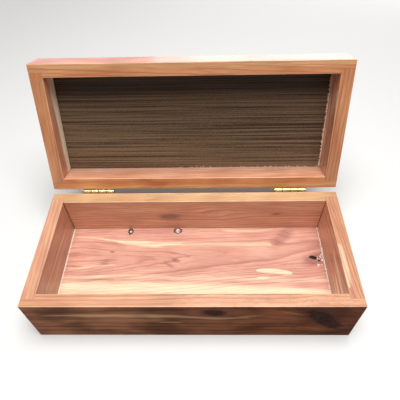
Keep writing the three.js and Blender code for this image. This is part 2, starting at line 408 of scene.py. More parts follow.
def board_space(nodes, directions):
    """Object coordinates in millimetres, turned to a board's own directions."""
    return nodes.put("ShaderNodeMapping", {
        "Vector": nodes.new("ShaderNodeTexCoord").outputs["Object"],
        "Location": directions.translation / MM,
        "Rotation": directions.to_3x3().to_euler("XYZ"),
        "Scale": (1 / MM, 1 / MM, 1 / MM)})


def attribute(nodes, name):
    """A mark that the mesh carries on its faces."""
    return nodes.new("ShaderNodeAttribute", attribute_name=name).outputs["Fac"]


def bump(nodes, height, distance):
    """A relief of the given depth in millimetres."""
    return nodes.put("ShaderNodeBump", {"Height": height, "Distance": distance * MM, "Strength": 1.0})


def rgba(colour):
    """A colour with full alpha."""
    return (*colour, 1.0)


# ---- The cedar boards ----------------------------------------------------------------------------

# Streaks on a board's rim are placed this far up, plus how far out they lie.
RIM_PLACE = 1000.0

# All lengths are millimetres in the box's own frame: along a wall its length, across it its height,
# and on the floor along X and Y. The lid's heights start at its rim.
# "pith" is where the rings' centre lies: across, deep, and how it drifts along both ways.
# "knots" and "streaks" hold a place (along, across) and the values that KNOT and STREAK name.
# Some boards also have a tint of their heartwood, colours that tint their rim and outer face, their
# own sapwood, a "fade_and_shade" of the outer face from left to right, its "cloud" of light and dark and
# its "outside_rings", painted shadows along the "seams" and torn "edges" as (place along, width), bark
# round the knots, and a duller gloss outside. The heartwood and rim tints, the outer colours and the
# fade are partly the wood's tone and partly painted light and shade.
CEDAR = {
    "base_front": {
        "seed": 3.0, "pith": (95.0, -60.0, 0.03, 0.02), "ring": 4.0, "tone": "wall", "bark": 0.6,
        # Its dark outer colour is mostly painted shade, and its fade from left to right is partly painted
        # light and shade.
        "outside": (0.34, 0.255, 0.185), "outside_gloss": 0.02, "cloud": 0.42,
        "fade_and_shade": ((1.08, 1.22, 1.38), (0.60, 0.47, 0.37)), "sapwood": (1.0, 0.68, 0.42),
        "knots": [(20, 51, 10, 5.5, 0.1, 0.7, 0.95, 0.85), (121, 37, 18, 12, 0.9, 0.55, 0.95, 0.9)],
        "streaks": [(-42, 45, 95, 2.6, -0.02, -2.0, 0.8, 1.0), (-20, 31, 11, 1.3, 0.0, 0.0, 0.35, 1.0),
                    (40, 42, 26, 1.2, 0.16, 1.0, 0.7, 0.6), (120, 22, 24, 1.6, -0.1, -3.0, 0.7, 0.55),
                    (96, 52, 16, 1.2, -0.3, 0.0, 0.7, 0.5)],
    },
    "base_back": {
        # Its heartwood tint and rim colour are partly painted light and shade.
        "tint": 1.08, "rim": (0.72, 0.84, 0.70), "seams": [(-139.8, 0.8), (139.8, 0.7)],
        "seed": 5.0, "pith": (-55.0, -50.0, -0.02, 0.03), "ring": 4.0, "tone": "wall",
        "knots": [(-28, 37, 9, 4, 0.0, 0.8, 0.65, 0.4), (90, 41, 4.5, 1.4, -0.05, 0.9, 0.5, 0.45),
                  (24, 43, 13, 6, 0.1, 0.9, 0.0, 0.0)],
    },
    "base_left": {
        # Its heartwood tint and rim colour are partly painted light and shade.
        "tint": 0.87, "rim": (0.97, 1.0, 1.0), "seams": [(53.3, 0.9)],
        "seed": 8.0, "pith": (110.0, -70.0, 0.05, 0.02), "ring": 3.8, "tone": "wall",
        "streaks": [(-5, 40, 60, 1.0, -0.06, 0.0, 0.8, 0.45), (-30, 29, 40, 1.6, 0.05, 0.0, 0.8, 0.25)],
    },
    "base_right": {
        # Its heartwood tint and rim colour are partly painted light and shade.
        "tint": 1.14, "sapwood": (1.0, 0.79, 0.60), "rim": (0.68, 0.65, 0.60), "seams": [(53.3, 0.6)],
        "seed": 13.0, "pith": (-80.0, -40.0, 0.06, 0.03), "ring": 3.6, "tone": "wall",
        "streaks": [(-34, 46, 34, 2.6, 0.05, 1.0, 0.5, 1.0), (-38, 36, 26, 1.6, 0.08, 0.0, 0.5, 0.95),
                    (-36, 29, 22, 1.2, 0.04, 0.0, 0.5, 0.8),
                    (-24, RIM_PLACE + 141.2, 24, 2.2, 0.0, 0.0, 0.9, 0.8)],
    },
    "base_floor": {
        "seed": 21.0, "pith": (17.0, -6.0, -0.08, 0.045), "ring": 2.5, "tone": "floor",
        "knots": [(130, 11, 10, 6, -0.3, 0.5, 0.7, 0.25), (-20, 10, 4.5, 2.4, 0.35, 0.9, 0.35, 0.45),
                  (-27, 5, 4.5, 2.2, 0.6, 0.6, 0.35, 0.25), (98, 40, 9, 7, -0.7, 0.5, 0.55, 0.12),
                  (-91, 21, 2.6, 1.0, 0.0, 0.9, 0.45, 0.6), (-132, 18, 15, 7, 0.0, 0.9, 0.0, 0.0)],
        "streaks": [(-20, -24, 230, 6.5, -0.03, -2.0, 0.6, 0.95), (0, -33, 330, 4.0, -0.03, -2.0, 0.8, 0.8),
                    (-100, -9, 60, 1.4, 0.03, 0.0, 0.7, 0.55),
                    (20, -12, 180, 2.6, -0.02, 0.0, 0.9, 0.4),
                    (-62, 33.6, 50, 1.7, -0.05, 0.6, 0.5, 0.9), (-50, 30.0, 37, 1.8, -0.02, 1.4, 0.4, 1.0),
                    (24, 31, 62, 3.0, -0.01, 0.0, 0.9, 0.55), (60, 49, 30, 2.0, 0.0, 0.0, 0.7, 0.6),
                    (-115, 37, 24, 1.2, -0.12, 0.0, 0.7, 0.5), (-118, 5, 34, 1.6, 0.03, 0.0, 0.7, 0.5),
                    (84, -3.4, 18.6, 2.9, -0.09, -0.9, 0.16, 1.0),
                    (72.2, -11.4, 6.4, 1.5, 0.02, 0.0, 0.18, 0.9),
                    (95, -4.8, 8.5, 2.6, -0.1, 0.0, 0.18, 1.0)],
        "edges": [(-139.5, 1.3), (139.5, 0.9)],
    },
    "lid_front": {
        # Its outer colour is partly painted light, fitted to the glare on this face.
        "outside": (0.93, 0.65, 0.64), "outside_rings": 0.45, "cloud": 0.12,
        "seed": 34.0, "pith": (-45.0, -60.0, 0.04, 0.03), "ring": 3.6, "tone": "lid",
        "streaks": [(0, RIM_PLACE + 64, 330, 3.0, 0.0, 0.0, 0.8, 0.35),
                    (80, RIM_PLACE + 63, 30, 1.2, 0.0, 1.0, 0.6, 0.7)],
    },
    "lid_back": {
        "seed": 55.0, "pith": (70.0, -55.0, -0.03, 0.02), "ring": 3.7, "tone": "lid",
        # Its rim colour is partly painted shade.
        "rim": (0.85, 0.70, 0.45),
        "streaks": [(0, RIM_PLACE - 63, 330, 1.2, 0.01, 0.0, 0.7, 0.4)],
    },
    "lid_left": {
        "seed": 89.0, "pith": (60.0, -60.0, 0.02, 0.02), "ring": 3.6, "tone": "lid",
        # This sapwood is painted lighter, as painted light on the lid's shaded inner face.
        "sapwood": (1.0, 0.88, 0.66),
        "streaks": [(0, 22, 330, 8.0, 0.05, 0.0, 0.22, 1.0)],
    },
    "lid_right": {
        "seed": 144.0, "pith": (-60.0, -45.0, -0.04, 0.03), "ring": 3.6, "tone": "lid",
        "streaks": [(-28, 3.2, 9, 2.4, -0.06, 0.0, 0.5, 0.95)],
    },
}

# Each lot of boards: its heartwood, its latewood, how strong and how early the rings turn dark, how
# rough the finish is, and the tints of its rims and outer faces, which are partly painted light and
# shade: the outer faces are darker as painted shade.
TONES = {
    "wall": {"light": (0.69, 0.355, 0.215), "dark": (0.58, 0.265, 0.155), "late": (0.34, 0.105, 0.06),
             "rings": 0.6, "early": 0.4, "rough": 0.36, "rim": (0.84, 0.86, 0.80),
             "outside": (0.80, 0.66, 0.52)},
    "floor": {"light": (0.60, 0.32, 0.235), "dark": (0.50, 0.23, 0.17), "late": (0.25, 0.08, 0.06),
              "rings": 0.62, "early": 0.5, "rough": 0.30, "rim": (1.0, 1.0, 1.0),
              "outside": (0.8, 0.7, 0.6)},
    "lid": {"light": (0.70, 0.36, 0.22), "dark": (0.57, 0.25, 0.14), "late": (0.32, 0.095, 0.05),
            "rings": 0.6, "early": 0.4, "rough": 0.30, "rim": (0.71, 0.62, 0.46),
            "outside": (0.85, 0.72, 0.62)},
}

KNOT = ("Half Length", "Half Width", "Lean", "Push", "Stain", "Dark")
STREAK = ("Half Length", "Half Width", "Slope", "Bend", "Softness", "Strength")
# Streaks softer than CRISP waver with the grain, crisper ones hardly do.
CRISP = 0.2
WAVER, STEADY = 5.0, 0.8
SEED_STEP = 0.37  # between the streaks of one board
# The outer face's fade, partly painted light and shade, changes its colour over this far each way from the
# middle.
FADE_REACH = 150.0
RIM_MARKS = 0.8  # share of the planer's marks that shows on the rim only
OPEN_RIM = 0.88  # how much less dust and painted shade lies on the rim
SAPWOOD_SHADE_RELIEF = 0.16  # how much less of the outer face's darker tone, partly painted shade, the sapwood takes
CLOUD = 0.32  # how far an outer face's light and dark clouds part
OUTSIDE_RINGS = 0.95  # ring strength on an outer face
SPECULAR = 0.5


def knotted(n, board, place):
    """Bends the grain round a board's knots; gives the bent place, the cores, the halos and the bark."""
    made = {"Board": place, "Core": 0.0, "Halo": 0.0, "Pale": 0.0}
    labels = tuple(made)
    for index, (x, y, *shape) in enumerate(board.get("knots", ())):
        made = n.group(knot_group(), {
            **{label: made[label] for label in labels}, **dict(zip(KNOT, shape)),
            "Seed": board["seed"] + index, "Middle": (x, y, 0), "Bark": board.get("bark", 0.0)})
    return [made[label] for label in labels]


def streaked(n, board, place):
    """Where a board shows sapwood."""
    sapwood = 0.0
    for index, (x, y, *shape) in enumerate(board.get("streaks", ())):
        shape = dict(zip(STREAK, shape))
        sapwood = n.group(streak_group(), {
            **shape, "Board": place, "Seed": board["seed"] + SEED_STEP * index, "Sapwood": sapwood,
            "Middle": (x, y, 0), "Waver": WAVER if shape["Softness"] > CRISP else STEADY})["Sapwood"]
    return sapwood


def outer_face(n, board, tone, colour, broad, along):
    """The colour of a board's outer face: a darker tone, partly the wood's and partly painted shade."""
    tinted = n.tinted(colour, rgba(board.get("outside", tone["outside"])))
    # The fade from left to right is partly painted light and shade.
    if "fade_and_shade" in board:
        left, right = board["fade_and_shade"]
        faded = n.mix(n.step(along, -FADE_REACH, FADE_REACH), rgba(left), rgba(right))
        tinted = n.tinted(tinted, faded)
    cloud = board.get("cloud", CLOUD)
    return n.shaded(tinted, n.step(broad, 0.3, 0.7, 1.0 + cloud, 1.0 - cloud))


def torn_strip(n, place, seed, edge, width):
    """Where the wood is ragged beside a line across the grain."""
    return n.group(torn_edge_group(), {"Board": place, "Seed": seed, "Edge": edge, "Width": width})["Torn"]


def cedar_material(name, directions, gloss):
    """Red cedar for one board, with its own knots, streaks and lie of the rings."""
    look = bpy.context.scene.cedar_box_wood
    board = CEDAR[name]
    tone = TONES[board["tone"]]
    material, n, shader = new_material(f"cedar {name}" + (" dull" if gloss < 1 else ""))
    place = board_space(n, directions)
    seeded_place = {"Board": place, "Seed": board["seed"]}
    rim = attribute(n, "rim")
    outside = attribute(n, "outside")
    face = n.minus(1.0, rim)

    bent, core, halo, pale = knotted(n, board, place)
    core, halo, pale = (n.times(share, face) for share in (core, halo, pale))
    along, height, out = n.split(bent)
    height = n.linear(rim, n.plus(n.minus(out, height), RIM_PLACE), height)
    sapwood = streaked(n, board, n.join(along, height, 0.0))
    across, depth, drift, climb = board["pith"]
    rings = n.group(rings_group(), {
        "Board": bent, "Seed": board["seed"], "Pith Across": across, "Pith Depth": depth,
        "Pith Drift": drift, "Pith Climb": climb, "Ring Width": board["ring"],
        "Wander": look.ring_wander, "Early": tone["early"]})
    # A board's heartwood tint is partly painted light and shade.
    tint = board.get("tint", 1.0)
    colour = n.group(wood_colour_group(), {
        "Late": rings["Late"], "Fibre": rings["Fibre"], "Broad": rings["Broad"],
        "Sapwood Share": n.math("MAXIMUM", sapwood, pale), "Core": core, "Halo": halo,
        "End": attribute(n, "end_grain"),
        "Ring Strength": n.step(
            outside, 0, 1, tone["rings"], board.get("outside_rings", OUTSIDE_RINGS)),
        "Heartwood": rgba(tint * Vector(tone["light"])),
        "Dark Heartwood": rgba(tint * Vector(tone["dark"])), "Latewood": rgba(tone["late"]),
        "Sapwood": rgba(board.get("sapwood", look.sapwood)),
        "Sapwood Line": rgba(look.sapwood_line), "Stain": rgba(look.stain),
        "Knot": rgba(look.knot)})["Colour"]

    # Outer faces take a darker colour that is partly painted shade; sapwood takes less of it.
    outer_face_share = n.times(outside, n.linear(sapwood, -SAPWOOD_SHADE_RELIEF, 1.0))
    colour_with_shade = n.mix(outer_face_share, colour, outer_face(n, board, tone, colour, rings["Broad"], along))
    marks = n.group(planer_group(), seeded_place)["Shade"]
    marks = n.times(marks, n.linear(rim, RIM_MARKS, 1 - RIM_MARKS))
    colour_with_shade = n.shaded(colour_with_shade, n.linear(marks, -look.planer_marks, 1.0))
    # Rims take a tint that is partly the wood's tone and partly painted light and shade.
    colour_with_shade = n.mix(rim, colour_with_shade, n.tinted(colour_with_shade, rgba(board.get("rim", tone["rim"]))))
    # Seams darken with dust and with painted shade: from ambient occlusion and from painted shadow strips
    # along the seams.
    dust_and_shade = n.group(seams_group(), seeded_place)["Dust"]
    for edge, width in board.get("seams", ()):
        shadow = n.times(torn_strip(n, place, board["seed"], edge, width), n.minus(1.0, outside))
        dust_and_shade = n.math("MAXIMUM", dust_and_shade, n.times(shadow, face))
    dust_and_shade = n.times(n.times(dust_and_shade, look.seam_dust_and_shade), n.linear(rim, -OPEN_RIM, 1.0))
    colour_with_shade = n.mix(dust_and_shade, colour_with_shade, rgba(look.knot))
    for index, (edge, width) in enumerate(board.get("edges", ())):
        colour_with_shade = n.mix(torn_strip(n, place, board["seed"] + index, edge, width), colour_with_shade, rgba(look.torn))
    # Lighter arrises: partly rubbed finish and partly painted highlight.
    wear_and_highlight = n.group(edge_wear_and_highlight_group(), {
        **seeded_place, "Arris": attribute(n, "arris"), "Amount": look.edge_wear_and_highlight, "Colour": colour_with_shade,
        "Worn Colour": rgba(look.wear_and_highlight)})
    finish = n.group(finish_group(), {
        **seeded_place, "Roughness": tone["rough"], "Grain": rings["Late"], "Worn": wear_and_highlight["Worn"]})
    n.fill(shader, {
        "Base Color": wear_and_highlight["Colour"], "Roughness": finish["Roughness"],
        "Normal": bump(n, finish["Height"], look.grain_depth), "Specular IOR Level": SPECULAR * gloss,
        "Coat Weight": look.lacquer * gloss, "Coat Roughness": look.lacquer_roughness})
    return material


# ---- Mesh helpers --------------------------------------------------------------------------------

SHARP = math.radians(50)
FLAT = math.radians(0.5)
WELD = 0.002 * MM  # corners closer than this are one
LEVEL = 0.01 * MM  # points that differ by less than this lie level
JOINT_REACH = 0.5 * MM
FACE_TO_FACE = 0.9  # how squarely two boards must meet to be glued
SHORTEST_ARRIS = 4 * MM
SEAM = 0.06 * MM  # what is left open between two glued boards
END_TONE = 0.3  # share of the outer face's tone, partly painted shade, that the ends of a board take
SQUARE_ON = 0.7  # how squarely a face must look along a direction to count as facing it


def merged_copy(node):
    """A bmesh of a CAD node with its doubles merged and its flat faces whole."""
    bm = bmesh.new()
    bm.from_mesh(frame["nodes"][node].data)
    bmesh.ops.remove_doubles(bm, verts=bm.verts, dist=WELD)
    bmesh.ops.dissolve_limit(bm, angle_limit=FLAT, verts=bm.verts, edges=bm.edges)
    bm.normal_update()
    return bm


def new_object(name, data):
    """An object linked to the scene."""
    made = bpy.data.objects.new(name, data)
    bpy.context.scene.collection.objects.link(made)
    return made


def mesh_object(name, bm, materials=()):
    """Turns a bmesh into an object of the same name."""
    mesh = bpy.data.meshes.new(name)
    bm.to_mesh(mesh)
    bm.free()
    for material in materials:
        mesh.materials.append(material)
    return new_object(name, mesh)


def finished(name, bm, materials, body, slot, replaces=()):
    """Turns a bmesh into a finished piece that rides on its body."""
    piece = mesh_object(name, bm, materials)
    settle(piece, body, slot, replaces)
    return piece


def settle(piece, body, slot, replaces=()):
    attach(piece, body)
    if replaces:
        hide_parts(*replaces)


def neighbours_of(name):
    """A tree of the boards that stand against this one."""
    others = bmesh.new()
    for other in [*BOARDS, "base_floor", "lid_panel"]:
        if other != name:
            others.from_mesh(frame["nodes"][other].data)
    tree = BVHTree.FromBMesh(others)
    others.free()
    return tree


def close_joints(bm, name):
    """Swells the faces that lie against a neighbouring board until only a glued seam is left."""
    tree = neighbours_of(name)
    moves = {}
    for face in bm.faces:
        middle = face.calc_center_median()
        nearest, _, _, gap = tree.find_nearest(middle)
        ahead = (nearest - middle).dot(face.normal)
        if SEAM < gap < JOINT_REACH and ahead > FACE_TO_FACE * gap:
            for vertex in face.verts:
                moves[vertex] = moves.get(vertex, Vector()) + face.normal * (gap - SEAM) / 2
    for vertex, move in moves.items():
        vertex.co += move


def open_corners(bm, name):
    """The convex edges that show: those that no neighbouring board closes."""
    tree = neighbours_of(name)
    for edge in bm.edges:
        if len(edge.link_faces) != 2 or not edge.is_convex or edge.calc_length() < SHORTEST_ARRIS:
            continue
        middle = (edge.verts[0].co + edge.verts[1].co) / 2
        if edge.calc_face_angle(0.0) > SHARP and tree.find_nearest(middle)[3] > JOINT_REACH:
            yield edge


def round_arrises(bm, edges, radius, segments):
    """Rounds the edges and marks the new faces as arris."""
    layer = bm.faces.layers.float.get("arris") or bm.faces.layers.float.new("arris")
    made = bmesh.ops.bevel(
        bm, geom=list(edges), offset=radius, offset_type="OFFSET", segments=segments, profile=0.5,
        affect="EDGES", clamp_overlap=True)
    for face in made["faces"]:
        face[layer] = 1.0
    bm.normal_update()


def mark_faces(bm, directions, heart):
    """Marks the faces that cut the fibres, that form the rim and that face away from the heart."""
    marks = {name: bm.faces.layers.float.new(name) for name in ("end_grain", "rim", "outside")}
    turn = directions.to_3x3()
    for face in bm.faces:
        along, across, out = turn @ face.normal
        face[marks["end_grain"]] = float(abs(along) > SQUARE_ON)
        face[marks["rim"]] = float(abs(across) > SQUARE_ON)
        place = directions @ face.calc_center_median() - directions @ heart
        if abs(out) > SQUARE_ON:
            face[marks["outside"]] = float(out * place.z > 0)
        elif abs(along) > SQUARE_ON:
            face[marks["outside"]] = END_TONE * float(along * place.x > 0)


def shade_smooth(piece, sharpest):
    """Smooth shading, sharp where the surface turns by more than the given degrees."""
    for polygon in piece.data.polygons:
        polygon.use_smooth = True
    piece.data.set_sharp_from_angle(angle=math.radians(sharpest))


def smooth_rounds(piece):
    """Smooth shading whose flats stay flat."""
    shade_smooth(piece, sharpest=40)
    modifier = piece.modifiers.new("even normals", "WEIGHTED_NORMAL")
    modifier.keep_sharp = True
    modifier.weight = 100
    bake_modifiers(piece)


def bake_modifiers(piece):
    """Replaces the mesh with what its modifiers make of it, and removes them."""
    graph = bpy.context.evaluated_depsgraph_get()
    mesh = bpy.data.meshes.new_from_object(piece.evaluated_get(graph), depsgraph=graph)
    piece.modifiers.clear()
    old = piece.data
    piece.data = mesh
    mesh.name = piece.name
    bpy.data.meshes.remove(old)


def board_piece(name, directions, body, slot, radius):
    """One board, with closed joints, rounded arrises and the marks that its cedar needs."""
    board = CEDAR[name]
    bm = merged_copy(name)
    close_joints(bm, name)
    round_arrises(bm, open_corners(bm, name), radius, segments=4)
    base_heart = Vector((0, 0, BASE_HEIGHT / 2))
    lid_heart = OPEN @ Vector((0, 0, BASE_HEIGHT))
    mark_faces(bm, directions, base_heart if body == "base" else lid_heart)
    materials = [cedar_material(name, directions, 1.0)]
    if "outside_gloss" in board:
        materials.append(cedar_material(name, directions, board["outside_gloss"]))
        outside = bm.faces.layers.float["outside"]
        for face in bm.faces:
            face.material_index = int(face[outside] > 0.5)
    piece = finished(f"{name}_board", bm, materials, body, slot, [name])
    smooth_rounds(piece)
    return piece


# ---- Repeated details, made with geometry nodes --------------------------------------------------


class GeometryNodes(Nodes):
    """A geometry node tree with named inputs, set on a modifier by their identifiers."""

    def __init__(self, name, inputs):
        super().__init__(bpy.data.node_groups.new(name, "GeometryNodeTree"))
        interface = self.tree.interface
        interface.new_socket("Geometry", in_out="INPUT", socket_type="NodeSocketGeometry")
        interface.new_socket("Geometry", in_out="OUTPUT", socket_type="NodeSocketGeometry")
        self.names = {}
        for kind, labels in inputs.items():
            for label in labels:
                socket = interface.new_socket(label, in_out="INPUT", socket_type=f"NodeSocket{kind}")
                self.names[label] = socket.identifier
        self.given = self.new("NodeGroupInput").outputs

    def finish(self, instances):
        realised = self.put("GeometryNodeRealizeInstances", {"Geometry": instances})
        surfaced = self.put("GeometryNodeSetMaterial", {
            "Geometry": realised, "Material": self.given["Material"]})
        self.feed(self.new("NodeGroupOutput").inputs["Geometry"], surfaced)

    def line(self, start, end, count=2):
        return self.put("GeometryNodeMeshLine", {
            "Count": count, "Start Location": start, "Offset": end}, mode="END_POINTS")

    def random_value(self, least, most, seed):
        """A random number between two values."""
        node = self.new("FunctionNodeRandomValue", data_type="FLOAT")
        self.fill(node, {2: least, 3: most, "Seed": seed})
        return node.outputs[1]

    def random_vector(self, reach, seed):
        """A random vector between minus and plus the reach."""
        node = self.new("FunctionNodeRandomValue", data_type="FLOAT_VECTOR")
        self.fill(node, {0: self.scaled(reach, -1.0), 1: reach, "Seed": seed})
        return node.outputs[0]

    def grow(self, name, values, body, slot, replaces=()):
        """Makes a piece with this tree and leaves it as a plain mesh."""
        piece = new_object(name, bpy.data.meshes.new(name))
        modifier = piece.modifiers.new("growth", "NODES")
        modifier.node_group = self.tree
        for label, value in values.items():
            modifier[self.names[label]] = value
        bake_modifiers(piece)
        settle(piece, body, slot, replaces)
        return piece


def crumb_nodes():
    """Splinters strewn along a line: small faceted chips, each its own size and turn."""
    g = GeometryNodes("Splinters", {
        "Vector": ("Start", "End", "Spread", "Chip", "Turn"), "Float": ("Least",),
        "Int": ("Count", "Seed"), "Material": ("Material",)})
    given = g.given
    seed = given["Seed"]
    line = g.line(given["Start"], given["End"], given["Count"])
    strewn = g.put("GeometryNodeSetPosition", {
        "Geometry": line, "Offset": g.random_vector(given["Spread"], seed)})
    chip = g.put("GeometryNodeMeshIcoSphere", {"Radius": 1.0, "Subdivisions": 2})
    place = g.put("GeometryNodeInputPosition", {})
    dents = g.noise(place, scale=1.3, detail=2)
    rough = g.put("GeometryNodeSetPosition", {
        "Geometry": chip, "Offset": g.scaled(place, g.linear(dents, 1.5, -0.75))})
    size = g.random_value(given["Least"], 1.0, g.plus(seed, 7.0))
    g.finish(g.put("GeometryNodeInstanceOnPoints", {
        "Points": strewn, "Instance": rough, "Scale": g.scaled(given["Chip"], size),
        "Rotation": g.random_vector(given["Turn"], g.plus(seed, 13.0))}))
    return g


# ---- Settings ------------------------------------------------------------------------------------


def colour_setting(name, description, default):
    return bpy.props.FloatVectorProperty(
        name=name, description=description, subtype="COLOR", size=3, min=0, max=1, default=default)


def share_setting(name, description, default):
    return bpy.props.FloatProperty(
        name=name, description=description, subtype="FACTOR", min=0, max=1, default=default)


def length_setting(name, description, default):
    return bpy.props.FloatProperty(
        name=name, description=description, subtype="DISTANCE", unit="LENGTH", min=0, default=default)


def number_setting(name, description, default):
    return bpy.props.FloatProperty(name=name, description=description, default=default)


class CedarBoxWood(bpy.types.PropertyGroup):
    """Sizes and colours of the cedar."""

    arris: length_setting("Arris", "Radius of the rounded board edges", 0.6 * MM)
    ring_wander: number_setting("Ring wander", "How far the rings stray, in millimetres", 9.0)
    torn: colour_setting("Torn wood", "Raw wood along a sawn end", (0.80, 0.62, 0.52))
    grain_depth: number_setting("Grain depth", "Relief of the grain, in millimetres", 0.05)
    sapwood: colour_setting("Sapwood", "Cream outer wood", (0.74, 0.57, 0.385))
    sapwood_line: colour_setting("Sapwood line", "Year lines in the sapwood", (0.52, 0.33, 0.19))
    stain: colour_setting("Stain", "Wood around a knot", (0.27, 0.105, 0.085))
    knot: colour_setting("Knot", "Heart of a knot", (0.055, 0.028, 0.026))
    wear_and_highlight: colour_setting("Worn and highlit edge", "Wood where the finish is rubbed thin", (0.86, 0.58, 0.40))
    seam_dust_and_shade: share_setting("Seam dust and shade", "Darkness of the seams between the boards", 0.75)
    planer_marks: share_setting("Planer marks", "Depth of the ripples across the grain", 0.10)
    edge_wear_and_highlight: share_setting("Edge wear and highlight", "How far the edges are rubbed", 0.22)
    lacquer: share_setting("Lacquer", "Weight of the clear coat", 0.25)
    lacquer_roughness: share_setting("Lacquer roughness", "Blur of the clear coat", 0.16)


class CedarBoxTrim(bpy.types.PropertyGroup):
    """Colours of the panel, the inlay and the brass."""

    panel_light: colour_setting("Panel, light", "Light streaks of the panel", (0.150, 0.094, 0.052))
    panel_dark: colour_setting("Panel, dark", "Dark streaks of the panel", (0.030, 0.015, 0.008))
    panel_front_shadow: share_setting("Panel shade", "How much darker the panel is along its front", 0.55)
    panel_roughness: share_setting("Panel roughness", "Blur of the panel's sheen", 0.46)
    torn_wood: colour_setting("Torn wood", "Raw splinters along a cut edge", (0.74, 0.50, 0.37))
    pale_inlay: colour_setting("Pale inlay", "Light wood of the inlay", (0.74, 0.57, 0.31))
    red_inlay: colour_setting("Red inlay", "Red wood of the inlay", (0.33, 0.075, 0.032))
    brass: colour_setting("Brass", "Polished brass", (0.86, 0.70, 0.36))
    tarnish: colour_setting("Tarnish", "Dull brass in the recesses", (0.26, 0.16, 0.05))
    brass_roughness: share_setting("Brass roughness", "Blur of the brass", 0.27)
    screw_slot: length_setting("Screw slot", "Width of a screw's slot", 0.7 * MM)


class CedarBoxStudio(bpy.types.PropertyGroup):
    """The floor, the lights and the camera."""

    floor_colour: colour_setting("Floor", "Pale studio floor", (0.62, 0.615, 0.60))
    sky: number_setting("Sky", "Strength of the even light", 0.18)
    overhead: number_setting("Overhead", "Power of the overhead light, in watts", 25.0)
    behind: number_setting("Behind", "Power of the light behind, in watts", 2.0)
    lens: number_setting("Lens", "Focal length, in millimetres", 36.0)


# ---- Base, floor and lid frame -------------------------------------------------------------------

BOARDS = {
    f"{body}_{side}": (directions @ lie, body)
    for body, lie in (("base", Matrix.Identity(4)), ("lid", LID_UP))
    for side, directions in (
        ("front", ALONG_X_UPRIGHT), ("back", ALONG_X_UPRIGHT), ("left", ALONG_Y_UPRIGHT),
        ("right", ALONG_Y_UPRIGHT))
}

# Pits in the floor: (x, y, half length, half width, depth, lean) in millimetres.
PITS = {
    "bead_pit": (-73.5, 48.6, 3.1, 4.3, 4.5, 0.0), "lump_pit": (-19.5, 49.4, 5.2, 3.9, 4.0, 0.0),
    "knot_hole": (128.3, 12.8, 4.6, 2.3, 6.0, -0.17), "small_hole": (133.8, 9.2, 1.3, 1.2, 4.0, 0.0),
}
PIT_DENT = 0.35
PIT_SEED_STEP = 10.0
DENTS = 2.2  # dents along a ball's radius


def make_walls(context, body):
    """The four boards of one body."""
    for name, (directions, own_body) in BOARDS.items():
        if own_body == body:
            board_piece(name, directions, body, "cedar_walls", context.scene.cedar_box_wood.arris)


def dented_ball(bm, centre, sizes, dent, seed, lean=0.0):
    """A ball stretched to three half sizes, with a noisy skin."""
    made = bmesh.ops.create_icosphere(bm, subdivisions=4, radius=1.0)
    for vertex in made["verts"]:
        way = vertex.co.copy()
        swell = 1 + dent * noise.noise(way * DENTS + Vector((seed, 0, 0)))
        spot = Vector((way.x * sizes[0], way.y * sizes[1], way.z * sizes[2])) * swell * MM
        vertex.co = Vector(centre) + spot + Vector((0, way.x * sizes[0] * lean * MM, 0))


def ball_piece(name, centre, sizes, dent, seed, material):
    """A small smooth lump that lies on the floor."""
    bm = bmesh.new()
    dented_ball(bm, centre, sizes, dent, seed)
    piece = finished(name, bm, [material], "base", "cedar_floor")
    for polygon in piece.data.polygons:
        polygon.use_smooth = True


def carve(piece, bm, material):
    """Cuts a bmesh out of a piece; the cut faces take the material."""
    tool = mesh_object("carving", bm, [material])
    mesh = tool.data
    piece.data.materials.append(material)
    modifier = piece.modifiers.new("cut", "BOOLEAN")
    modifier.operation = "DIFFERENCE"
    modifier.object = tool
    modifier.material_mode = "TRANSFER"
    bake_modifiers(piece)
    bpy.data.objects.remove(tool)
    bpy.data.meshes.remove(mesh)


def spotted_material(name, dark, light, roughness, size):
    """A cloudy, rough stuff: two colours mixed by noise, dented by the same noise."""
    material, n, shader = new_material(name)
    cloud = n.noise(board_space(n, ALONG_X_FLAT), scale=1 / size, detail=4, roughness=0.6)
    n.fill(shader, {
        "Base Color": n.mix(n.step(cloud, 0.35, 0.65), rgba(dark), rgba(light)),
        "Roughness": n.linear(cloud, 0.2, roughness - 0.1), "Normal": bump(n, cloud, 0.2)})
    return material


class CEDARBOX_OT_base_walls(bpy.types.Operator):
    """Builds the four rabbeted boards of the base"""

    bl_idname = "cedar_box.base_walls"
    bl_label = "Base walls"

    def execute(self, context):
        make_walls(context, "base")
        return {"FINISHED"}


class CEDARBOX_OT_lid_walls(bpy.types.Operator):
    """Builds the four rabbeted boards of the lid"""

    bl_idname = "cedar_box.lid_walls"
    bl_label = "Lid walls"

    def execute(self, context):
        make_walls(context, "lid")
        return {"FINISHED"}


class CEDARBOX_OT_floor(bpy.types.Operator):
    """Builds the floor board with its pits"""

    bl_idname = "cedar_box.floor_board"
    bl_label = "Floor board"

    def execute(self, context):
        arris = context.scene.cedar_box_wood.arris
        piece = board_piece("base_floor", ALONG_X_FLAT, "base", "cedar_floor", arris)
        pits = bmesh.new()
        for index, (x, y, *sizes, lean) in enumerate(PITS.values()):
            centre = Vector((x * MM, y * MM, FLOOR_TOP))
            dented_ball(pits, centre, sizes, PIT_DENT, PIT_SEED_STEP * index, lean)
        carve(piece, pits, spotted_material("pit", (0.035, 0.018, 0.014), (0.22, 0.12, 0.09), 0.45, 2.2))
        return {"FINISHED"}


def above_pit(pit, back, sink):
    """A place over a pit, moved back and down by so many millimetres."""
    x, y, *_ = PITS[pit]
    return Vector((x, y + back, FLOOR_TOP / MM - sink)) * MM


# Raw splinters stand in the seams along the right walls, this far from the middle.
RIGHT_SEAM = 0.1388


